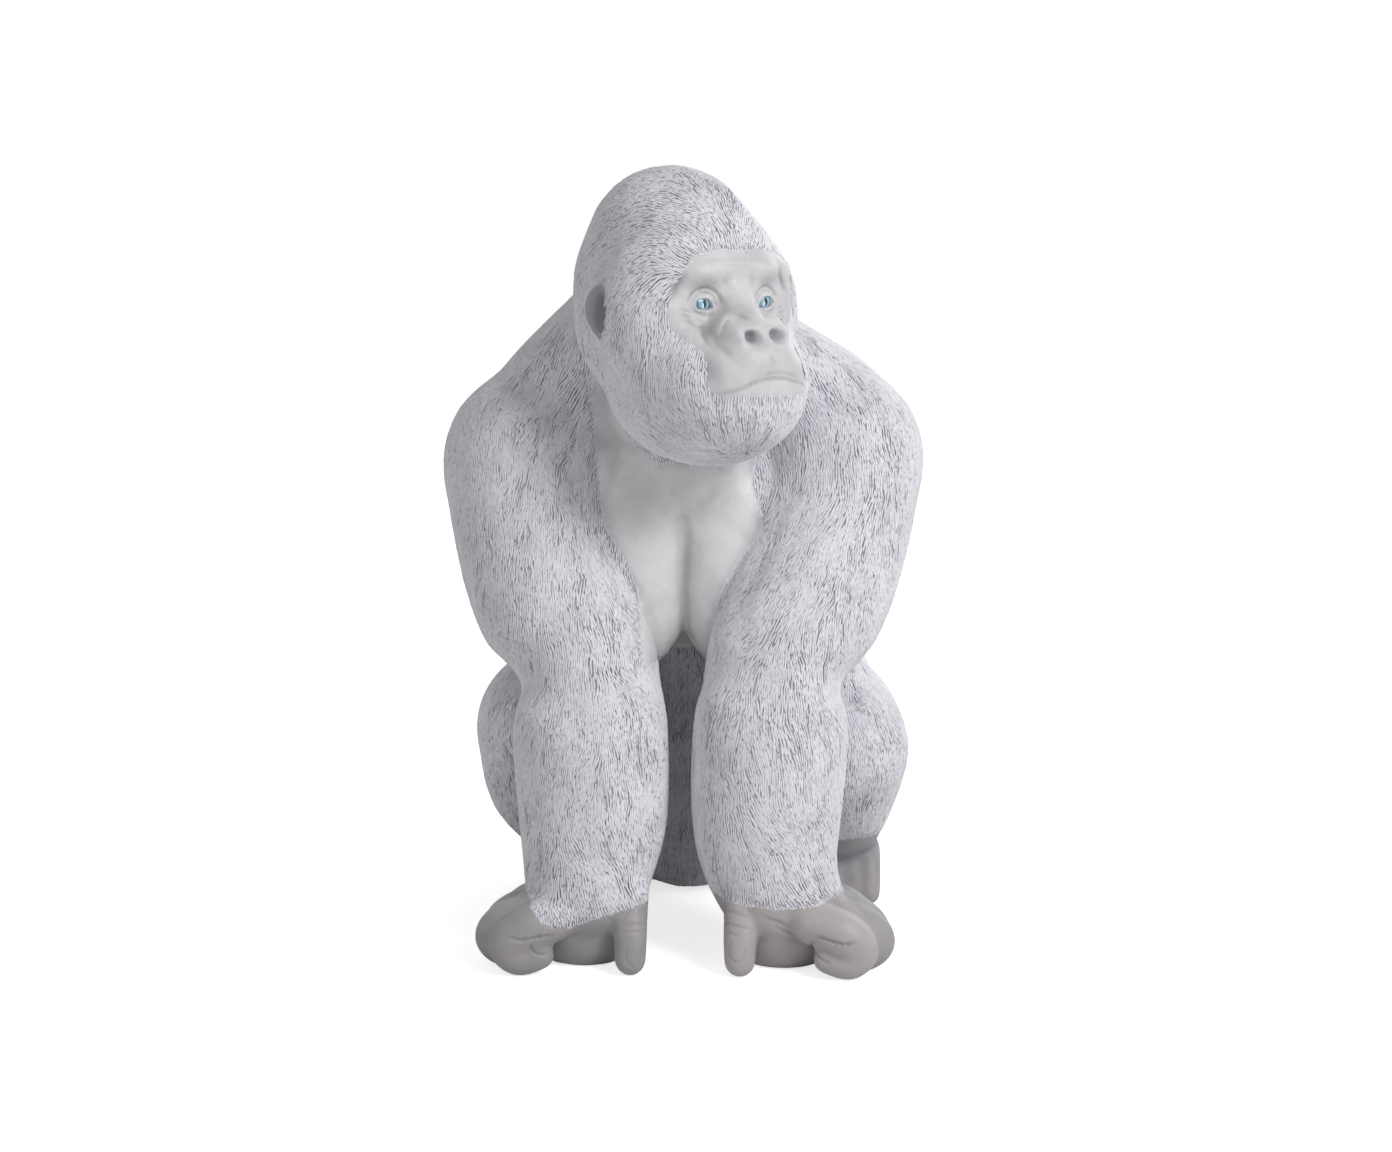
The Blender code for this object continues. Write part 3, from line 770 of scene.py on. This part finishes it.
def carved_skin(settings):
    """The node's shape as a fine even skin."""
    obj = bpy.data.objects.new("casting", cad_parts[NODE].data.copy())
    bpy.context.scene.collection.objects.link(obj)
    obj.data.materials.clear()
    only(obj)
    bpy.ops.object.mode_set(mode="EDIT")
    bpy.ops.mesh.select_all(action="SELECT")
    bpy.ops.mesh.remove_doubles(threshold=0.00001)
    bpy.ops.object.mode_set(mode="OBJECT")
    add_modifier(obj, "SUBSURF", levels=1)
    add_modifier(obj, "REMESH", mode="VOXEL", voxel_size=settings.voxel, use_smooth_shade=True)
    add_modifier(obj, "SMOOTH", factor=0.5, iterations=8)
    return obj


def split_facets(obj, chosen_points):
    """Splits the facets whose corners are all chosen in four."""
    mesh = obj.data
    corners = read_all(mesh.loops, "vertex_index")
    chosen = np.logical_and.reduceat(chosen_points[corners], read_all(mesh.polygons, "loop_start"))
    only(obj)
    bpy.ops.object.mode_set(mode="EDIT")
    bpy.ops.mesh.select_mode(type="FACE")
    bpy.ops.mesh.select_all(action="DESELECT")
    bpy.ops.object.mode_set(mode="OBJECT")
    mesh.polygons.foreach_set("select", chosen)
    bpy.ops.object.mode_set(mode="EDIT")
    bpy.ops.mesh.subdivide(number_cuts=1, smoothness=0)
    bpy.ops.object.mode_set(mode="OBJECT")


def refine(obj):
    """Finer facets over the bare face and the fronts of the hands, and finer again round the eyes."""
    points = mesh_points(obj.data)
    local = into_head(points)
    face = (outline_depth(FACE_OUTLINE, local[:, [0, 2]]) > -0.004) & (local[:, 1] < -0.035)
    hands = (points[:, 1] < -0.19) & (points[:, 2] < 0.080) & (points[:, 2] > 0.003)
    split_facets(obj, face | hands)
    local = into_head(mesh_points(obj.data)) / MM
    eyes = np.zeros(len(local), bool)
    for side in SIDES:
        x, z = local[:, 0] - IRIS[side][0], local[:, 2] - IRIS[side][1]
        eyes |= (np.hypot(x / 21, z / 19) < 1) & (local[:, 1] < -60)
    split_facets(obj, eyes)


def carve_eye(skin, side):
    """The opening of the lids on one side, its raised rim, and the folds round it."""
    middle = np.array(IRIS[side], float)
    away = np.array((side, 1))
    opening = middle + np.array(OPENING) * away
    depth = outline_depth(opening, skin.local[:, [0, 2]]) / MM
    skin.points += skin.outward * (ease(depth / 1.3 + 0.3) * skin.front * -4.5 * MM)[:, None]
    share = ease(1 - np.abs(depth + 1.3) / 2.2) * skin.front
    skin.points += skin.outward * (share * 0.9 * MM)[:, None]
    for line, width, height in LID_FOLDS:
        skin.crease(middle + np.array(line) * away, width, height)


def carve_face(skin):
    """The folds, lobes and lids of the bare face, and the bowls of the ears."""
    x, z = skin.local[:, 0] / MM, skin.local[:, 2] / MM
    band = ease(1.2 - np.abs(z - 24) / 24) * ease((85 - np.abs(x)) / 20) * skin.front
    skin.melt(band, 40)
    for side in SIDES:
        away = np.array((side, 1))
        for middle, size, height in FACE_LOBES:
            skin.press(middle * away, size, height)
        for line, width, height in FACE_FOLDS:
            skin.crease(np.array(line) * away, width, height)
    for line, width, height in FRONT_FOLDS:
        skin.crease(line, width, height)
    for side in SIDES:
        carve_eye(skin, side)
        bowl = ease(1.3 - from_bowl(skin.local)) * (x * side > 75)
        skin.points -= np.array(HEAD)[:3, 0] * side * (bowl * 6 * MM)[:, None]


def carve_body(skin):
    """The folds of the chest, the creases of the fingers and the nails of the thumbs."""
    for line, width, height in CHEST_FOLDS:
        skin.groove(line, width, height)
    for line, width, height in HAND_FOLDS:
        skin.score(line, width, height)


def paint_skin(skin):
    """Works out the painted shade in the hollows, the folds of the face and the bowls of the ears, and which
    parts have darker paint.
    """
    points, local = skin.points, skin.local
    bare = bare_depth(points)
    # painted shade: darker the deeper a place lies below the skin around it, and weaker on the chest
    hollow = skin.hollows(6) / 0.00022 + skin.hollows(30) / 0.0016
    chest = (points[:, 2] < 0.58) & (points[:, 2] > 0.25) & (local[:, 2] <= -0.085)
    wash = np.clip(hollow * np.where(chest, 0.14, 0.42), 0, np.where(chest, 0.25, 0.75))
    # more painted shade in the nostrils and the creases of the face
    for side in SIDES:
        for (x, z), size, strength in FACE_SHADE:
            wash = np.maximum(wash, strength * skin.on_oval((x * side, z), size))
    # painted shade in the bowls of the ears
    ears = np.abs(local[:, 0]) > 0.075
    wash = np.where(ears, np.maximum(wash, 0.35 + ease(1.5 - from_bowl(local))), wash)
    dark = np.where(chest, 0.0, np.where((points[:, 2] < 0.15) | ears, 1.0, 0.5))
    for _ in range(4):
        wash = skin.around(np.repeat(wash[:, None], 3, axis=1))[:, 0]
    set_values(skin.mesh, "wash", wash)
    set_values(skin.mesh, "dark", dark)
    # the skin under the coat takes the painted shade of the grooves between the locks
    set_values(skin.mesh, "ridge", np.full(len(points), 0.45))
    set_values(skin.mesh, "tint", np.full(len(points), 0.5))
    set_values(skin.mesh, "shade", shade_of_coat(points))
    return bare


def thin_out(obj, bare):
    """Keeps the fine facets where the skin shows, and few where the coat covers it."""
    mesh = obj.data
    group = obj.vertex_groups.new(name="covered")
    group.add(np.flatnonzero(bare < -0.006).tolist(), 1, "REPLACE")
    triangles = read_all(mesh.polygons, "loop_total") - 2
    firsts = read_all(mesh.loops, "vertex_index")[read_all(mesh.polygons, "loop_start")]
    shown = int(triangles[bare[firsts] >= -0.006].sum())
    every = int(triangles.sum())
    for name, keep, total, inverted in (
        ("coat base", COVERED_FACETS + shown, every, False),
        ("bare skin", COVERED_FACETS + min(shown, BARE_FACETS), COVERED_FACETS + shown, True),
    ):
        modifier = obj.modifiers.new(name, "DECIMATE")
        modifier.vertex_group = group.name
        modifier.invert_vertex_group = inverted
        modifier.ratio = keep / total
        only(obj)
        bpy.ops.object.modifier_apply(modifier=modifier.name)
    obj.vertex_groups.clear()


def add_eyeballs(obj, surface, settings):
    """Two eyeballs in the openings of the lids, painted with an iris, a pupil and a painted highlight."""
    balls = []
    for side in SIDES:
        x, z = np.array(IRIS[side]) * MM
        origin = HEAD @ Vector((x, -0.2, z))
        front = surface.ray_cast(origin, -Vector(out_of_head(np.array((0.0, -1.0, 0.0)))))[0]
        middle = Vector((x, into_head(np.array(front)[None])[0][1] + 0.0006 + EYEBALL[1] * MM, z))
        bpy.ops.mesh.primitive_uv_sphere_add(segments=40, ring_count=24, radius=1)
        ball = bpy.context.object
        place = HEAD @ Matrix.Translation(middle) @ Matrix.Diagonal((*(np.array(EYEBALL) * MM), 1))
        ball.data.transform(place)
        points = into_head(mesh_points(ball.data)) / MM
        set_values(ball.data, "aside", points[:, 0] - IRIS[side][0])
        set_values(ball.data, "above", points[:, 2] - IRIS[side][1])
        ball.data.materials.append(eye_material(settings))
        ball.data.polygons.foreach_set("use_smooth", np.ones(len(ball.data.polygons), bool))
        balls.append(ball)
    only(obj)
    for ball in balls:
        ball.select_set(True)
    bpy.ops.object.join()


def facet_areas(mesh):
    """Corners of every triangle and its area."""
    mesh.calc_loop_triangles()
    corners = read_all(mesh.loop_triangles, "vertices").reshape(-1, 3)
    p = mesh_points(mesh)[corners]
    areas = np.linalg.norm(np.cross(p[:, 1] - p[:, 0], p[:, 2] - p[:, 0]), axis=1) / 2
    return corners, areas


class Shared:
    """What the casting leaves for the coat: the skin that it lies on, and the paint."""

    surface = None
    points = None
    areas = None
    group = None

    @classmethod
    def paint(cls):
        """The shaded, mottled paint, made once for every material."""
        if cls.group is None:
            cls.group = shaded_mottled_paint()
        return cls.group


class FIGURINE_OT_casting(bpy.types.Operator):
    """Carve and paint the cast body"""

    bl_idname = "figurine.casting"
    bl_label = "Casting"

    def execute(self, context):
        settings = context.scene.figurine_skin
        obj = carved_skin(settings)
        surface = BVHTree.FromObject(obj, context.evaluated_depsgraph_get())
        Shared.surface = surface
        Shared.points = mesh_points(obj.data)
        Shared.areas = facet_areas(obj.data)
        refine(obj)
        skin = Skin(obj.data)
        face = ease((outline_depth(FACE_OUTLINE, skin.local[:, [0, 2]]) + 0.01) / 0.01) * skin.front
        skin.melt(face, 4)
        carve_face(skin)
        carve_body(skin)
        skin.melt(face, 3)
        skin.write()
        skin.measure()
        bare = paint_skin(skin)
        covered = ease((-bare - 0.001) / 0.003)
        skin.points -= skin.normals * (covered * 0.0008)[:, None]
        skin.write()
        thin_out(obj, bare)
        group = Shared.paint()
        obj.data.materials.append(skin_material(settings, group))
        obj.data.materials.append(coat_material(context.scene.figurine_coat, group))
        points = mesh_points(obj.data)
        bare = bare_depth(points) > -0.002
        firsts = np.array([p.vertices[0] for p in obj.data.polygons])
        obj.data.polygons.foreach_set("material_index", np.where(bare[firsts], 0, 1))
        obj.data.update()
        add_eyeballs(obj, surface, settings)
        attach(obj, "root")
        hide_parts(NODE)
        return {"FINISHED"}


def settle(points):
    """The nearest places on the skin, and its normals there."""
    found = [Shared.surface.find_nearest(Vector(p)) for p in points]
    return np.array([f[0] for f in found]), np.array([f[1] for f in found])


def sow(settings, table, rounds):
    """Evenly staggered places for the locks, and which way each runs."""
    chance = np.random.default_rng(7)
    corners, areas = Shared.areas
    bare = bare_depth(Shared.points)
    weight = areas * (bare[corners].max(1) < 0.002)
    count = int(weight.sum() / (settings.pitch * settings.overlap))
    pick = chance.choice(len(areas), count, p=weight / weight.sum())
    a, b = chance.random((2, count))
    over = a + b > 1
    a, b = np.where(over, 1 - a, a), np.where(over, 1 - b, b)
    p = Shared.points[corners[pick]]
    points = p[:, 0] + a[:, None] * (p[:, 1] - p[:, 0]) + b[:, None] * (p[:, 2] - p[:, 0])
    points, normals = settle(points)
    for _ in range(rounds):
        lies = comb(table, points, normals)
        asides = np.cross(normals, lies)
        tree = KDTree(count)
        for index, point in enumerate(points):
            tree.insert(point, index)
        tree.balance()
        near = np.array([[hit[1] for hit in tree.find_n(point, 15)][1:] for point in points])
        gap = points[near] - points[:, None]
        aside = (gap * asides[:, None]).sum(2) / settings.pitch
        along = (gap * lies[:, None]).sum(2) / settings.overlap
        away = np.hypot(aside, along)
        shove = np.clip(1.15 - away, 0, None) / np.maximum(away, 0.05) * 0.42
        step_aside = -(aside * shove).sum(1) * settings.pitch
        step_along = -(along * shove).sum(1) * settings.overlap
        step = asides * np.clip(step_aside, -0.0016, 0.0016)[:, None]
        step += lies * np.clip(step_along, -0.004, 0.004)[:, None]
        points, normals = settle(points + step)
    return points, normals


def one_lock():
    """The lock that all are copied from: three sides, two rings, a root and a tip, along +Y."""
    bpy.ops.mesh.primitive_cylinder_add(
        vertices=3, radius=1, depth=1, end_fill_type="TRIFAN", rotation=(math.pi / 2, 0, 0))
    obj = bpy.context.object
    bpy.ops.object.transform_apply(location=True, rotation=True, scale=True)
    bpy.ops.object.mode_set(mode="EDIT")
    bpy.ops.mesh.select_all(action="SELECT")
    bpy.ops.mesh.quads_convert_to_tris()
    bpy.ops.object.mode_set(mode="OBJECT")
    mesh = obj.data
    shape = mesh_points(mesh)
    faces = np.array([tuple(p.vertices) for p in mesh.polygons])
    bpy.data.objects.remove(obj)
    bpy.data.meshes.remove(mesh)
    return shape, faces


def lock_profile(shape):
    """For each corner of a lock: its station, how far aside, how high, and how much of a crest it is."""
    across, along, up = shape.T
    ends = np.hypot(across, up) < 0.1
    station = np.where(along < 0, np.where(ends, 0, 1), np.where(ends, 3, 2))
    crest = up > 0.5
    aside = np.array([0, 0.47, 0.50, 0])[station] * np.sign(np.round(across, 3))
    rise = np.where(crest, np.array([0, 0.85, 1.0, 0.6])[station], 0.0)
    rise = np.where(ends, np.where(along > 0, 0.55, 0.05), rise)
    ridge = np.where(crest, np.array([0.2, 0.9, 1.0, 0.8])[station], 0.0)
    ridge = np.where(ends, np.where(along > 0, 0.75, 0.1), ridge)
    return station, aside, rise, ridge


def lay_over_skin(table, points, normals, length):
    """Four stations along each lock from root to tip, and which way the skin faces at each."""
    stations, facing = [], []
    for way in (-1, 1):
        p, q = points, normals
        for reach in (0.27, 0.23):
            lies = comb(table, p, q)
            p, q = settle(p + lies * (way * length * reach)[:, None])
            stations.insert(0 if way < 0 else len(stations), p)
            facing.insert(0 if way < 0 else len(facing), q)
    return np.array(stations), np.array(facing)


def coat_mesh(name, corners, faces):
    """One mesh of many locks, from the corners of every lock and the faces that each of them has."""
    count, each = corners.shape[:2]
    tris = (faces[None] + (np.arange(count) * each)[:, None, None]).reshape(-1, 3)
    mesh = bpy.data.meshes.new(name)
    mesh.vertices.add(count * each)
    mesh.vertices.foreach_set("co", corners.astype(np.float32).ravel())
    mesh.loops.add(tris.size)
    mesh.loops.foreach_set("vertex_index", tris.astype(np.int32).ravel())
    mesh.polygons.add(len(tris))
    mesh.polygons.foreach_set("loop_start", np.arange(0, tris.size, 3, dtype=np.int32))
    mesh.update(calc_edges=True)
    mesh.validate()
    mesh.polygons.foreach_set("use_smooth", np.ones(len(tris), bool))
    return mesh


class FIGURINE_OT_coat(bpy.types.Operator):
    """Lay the locks of cast hair over the body"""

    bl_idname = "figurine.coat"
    bl_label = "Coat"

    def execute(self, context):
        settings = context.scene.figurine_coat
        table = comb_table(Shared.surface)
        points, normals = sow(settings, table, 5)
        chance = np.random.default_rng(11)
        keep = bare_depth(points) < chance.uniform(-0.0025, 0.001, len(points))
        keep &= points[:, 2] > 0.004
        points, normals = points[keep], normals[keep]
        count = len(points)
        # finer hair toward the edges of the coat
        fine = 0.6 + 0.4 * ease(-bare_depth(points) / 0.012)
        length = settings.length * chance.uniform(0.75, 1.25, count) * fine
        width = settings.width * chance.uniform(0.85, 1.15, count) * (0.4 + 0.6 * fine)
        height = settings.relief * chance.uniform(0.8, 1.2, count) * fine
        sway = chance.normal(0, 0.00045, count)
        path, facing = lay_over_skin(table, points, normals, length)
        asides = np.cross(facing, unit(np.gradient(path, axis=0)))
        # each lock bends to one side and back
        bend = np.array([0.8, -0.9, 0.9, -0.8])
        path = path + asides * (bend[:, None] * sway)[..., None]
        shape, faces = one_lock()
        station, aside, rise, ridge = lock_profile(shape)
        # the sides of a lock are sunk in the skin
        low = -0.62 * settings.relief
        co = path[station] + asides[station] * (aside[:, None] * width)[..., None]
        co = co + facing[station] * (rise[:, None] * height + low)[..., None]
        piece = piece_of_coat(points)
        shade = shade_of_coat(points)
        tint = chance.random(count)
        material = coat_material(settings, Shared.paint())
        for index, name in enumerate(COAT_PIECES):
            mine = np.flatnonzero(piece == index)
            mesh = coat_mesh("coat_" + name, co[:, mine].transpose(1, 0, 2), faces)
            set_values(mesh, "ridge", np.tile(ridge, len(mine)))
            set_values(mesh, "shade", np.repeat(shade[mine], len(shape)))
            set_values(mesh, "tint", np.repeat(tint[mine], len(shape)))
            mesh.materials.append(material)
            obj = bpy.data.objects.new("coat_" + name, mesh)
            context.scene.collection.objects.link(obj)
            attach(obj, "root")
            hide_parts(NODE)
        return {"FINISHED"}


def add_lamp(name, place, power, size):
    """A square lamp of that size at a place, facing the figure."""
    lamp = bpy.data.lights.new(name, "AREA")
    lamp.energy = power
    lamp.size = size
    obj = bpy.data.objects.new(name, lamp)
    bpy.context.scene.collection.objects.link(obj)
    obj.location = place
    obj.rotation_euler = (Vector(TARGET) - Vector(place)).to_track_quat("-Z", "Y").to_euler()


class FIGURINE_OT_stage(bpy.types.Operator):
    """Set up the floor, the light and the camera"""

    bl_idname = "figurine.stage"
    bl_label = "Stage"

    def execute(self, context):
        settings = context.scene.figurine_stage
        scene = context.scene
        self.place_camera(scene, settings)
        add_lamp("key", (2.1, -2.1, 2.4), settings.key, 1.2)
        add_lamp("fill", (-2.2, -1.6, 1.2), settings.fill, 1.6)
        add_lamp("back", (1.2, 2.6, 1.9), settings.back, 2.0)
        self.light_sky(scene, settings)
        self.lay_floor(settings)
        scene.view_settings.view_transform = "Standard"
        return {"FINISHED"}

    def place_camera(self, scene, settings):
        """The camera, turned so that what it aims at falls a little off the middle of the picture."""
        camera = bpy.data.cameras.new("camera")
        camera.sensor_width = 36
        camera.lens = settings.lens
        obj = bpy.data.objects.new("camera", camera)
        scene.collection.objects.link(obj)
        scene.camera = obj
        back = Matrix.Rotation(settings.azimuth, 3, "Z") @ Matrix.Rotation(-settings.elevation, 3, "X")
        back = back @ Vector((0, -1, 0))
        turn = (-back).to_track_quat("-Z", "Y").to_matrix()
        focal = camera.lens / camera.sensor_width * PICTURE_WIDTH
        turn = turn @ Matrix.Rotation(math.atan(-TARGET_LEFT / focal), 3, "Y")
        turn = turn @ Matrix.Rotation(math.atan(-TARGET_ABOVE / focal), 3, "X")
        obj.matrix_world = Matrix.Translation(Vector(TARGET) + back * settings.distance) @ turn.to_4x4()

    def light_sky(self, scene, settings):
        """Even light from all round, and plain white where the camera looks past the figure."""
        scene.world = bpy.data.worlds.new("sky")
        scene.world.use_nodes = True
        tree = scene.world.node_tree
        n = Nodes(tree)
        path = n.add("ShaderNodeLightPath")
        seen = n.math("MAXIMUM", path.outputs["Is Camera Ray"], path.outputs["Is Glossy Ray"])
        seen = n.math("MAXIMUM", seen, path.outputs["Is Transmission Ray"])
        strength = n.math("ADD", settings.sky, n.math("MULTIPLY", seen, 1 - settings.sky))
        tree.links.new(strength, tree.nodes["Background"].inputs["Strength"])
        tree.nodes["Background"].inputs["Color"].default_value = (1, 1, 1, 1)

    def lay_floor(self, settings):
        """A pale floor that shows white, but for the shadow of the figure."""
        bpy.ops.mesh.primitive_plane_add(size=24)
        floor = bpy.context.object
        floor.name = "floor"
        material, n, shader = principled("floor")
        shader.inputs["Base Color"].default_value = settings.floor
        shader.inputs["Roughness"].default_value = 0.9
        shader.inputs["Specular IOR Level"].default_value = 0.1
        seen = n.add("ShaderNodeLightPath").outputs["Is Camera Ray"]
        n.tree.links.new(n.mix(seen, (0, 0, 0, 1), (1, 1, 1, 1)), shader.inputs["Emission Color"])
        shader.inputs["Emission Strength"].default_value = 0.72
        floor.data.materials.append(material)


class FIGURINE_PT_panel(bpy.types.Panel):
    """The settings of each step, and its button"""

    bl_label = "Figurine"
    bl_idname = "FIGURINE_PT_panel"
    bl_space_type = "VIEW_3D"
    bl_region_type = "UI"
    bl_category = "Figurine"

    def draw(self, context):
        for operator, name in zip(OPERATORS, ("figurine_stage", "figurine_skin", "figurine_coat")):
            box = self.layout.box()
            settings = getattr(context.scene, name)
            for key in settings.bl_rna.properties.keys():
                if key not in ("rna_type", "name"):
                    box.prop(settings, key)
            box.operator(operator.bl_idname)


OPERATORS = (FIGURINE_OT_stage, FIGURINE_OT_casting, FIGURINE_OT_coat)
CLASSES = (FigurineStage, FigurineSkin, FigurineCoat, *OPERATORS, FIGURINE_PT_panel)


def register():
    for each in CLASSES:
        bpy.utils.register_class(each)
    bpy.types.Scene.figurine_stage = bpy.props.PointerProperty(type=FigurineStage)
    bpy.types.Scene.figurine_skin = bpy.props.PointerProperty(type=FigurineSkin)
    bpy.types.Scene.figurine_coat = bpy.props.PointerProperty(type=FigurineCoat)


def unregister():
    for name in ("figurine_stage", "figurine_skin", "figurine_coat"):
        delattr(bpy.types.Scene, name)
    for each in reversed(CLASSES):
        bpy.utils.unregister_class(each)


def main():
    """Builds the stage, the casting and the coat in turn."""
    register()
    bpy.ops.figurine.stage()
    bpy.ops.figurine.casting()
    bpy.ops.figurine.coat()


if __name__ == "__main__":
    main()
